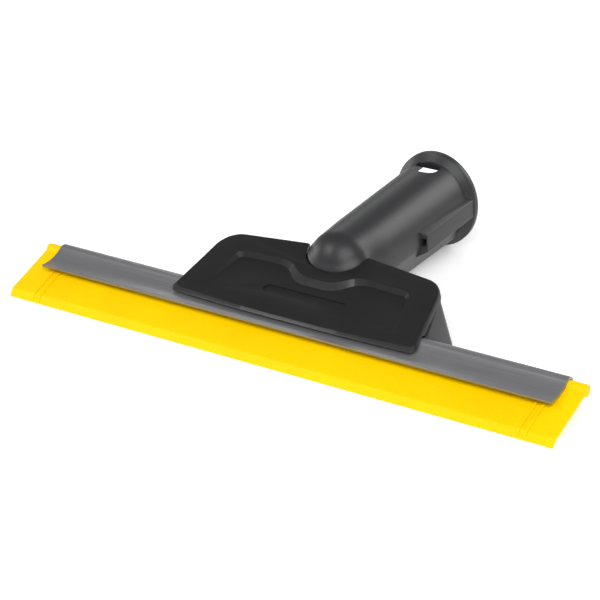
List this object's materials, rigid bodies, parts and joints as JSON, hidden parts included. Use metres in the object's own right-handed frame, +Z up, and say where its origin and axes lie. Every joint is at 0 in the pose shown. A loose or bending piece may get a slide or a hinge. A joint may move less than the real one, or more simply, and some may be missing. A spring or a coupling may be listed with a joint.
{
  "type": "window squeegee head",
  "caption": "Window squeegee head for a steam cleaner: silicone blade in a rail, face plate, hollow head with steam slots and a socket tube with collar and catch window.",
  "frame": {"origin": "middle of the bounding box's bottom face, on the table that the squeegee lies on, face plate up", "axes": "+X along the blade, +Y from the wiping lip towards the tube's mouth, +Z up"},
  "size_m": [0.25, 0.1362, 0.0425],
  "materials": {
    "yellow_silicone": "smooth satin silicone",
    "grey_aluminium": "grey anodised, satin",
    "black_abs": "fine moulded texture",
    "grey_polypropylene": "fine moulded texture",
    "black_nylon": "moulded",
    "black_rubber": "matt",
    "spring_steel": "bright",
    "screw_steel": "zinc plated"
  },
  "bodies": {
    "head": {"blade_rail": "grey_aluminium", "face_plate": "black_abs", "head_body": "grey_polypropylene", "base_cover": "grey_polypropylene", "steam_duct": "black_nylon", "socket_seal": "black_rubber", "seal_retainer": "spring_steel", "nozzle_bar": "black_nylon", "nozzle_gasket": "black_rubber", "inlet_seal": "black_rubber", "rail_screws": "screw_steel", "plate_screws": "screw_steel", "cover_screws": "screw_steel"},
    "blade": {"squeegee_blade": "yellow_silicone"}
  },
  "joints": [
    {"name": "blade_slide", "type": "slide", "parent": "head", "child": "blade", "axis": [1, 0, 0], "range_m": [-0.2, 0.2]}
  ]
}
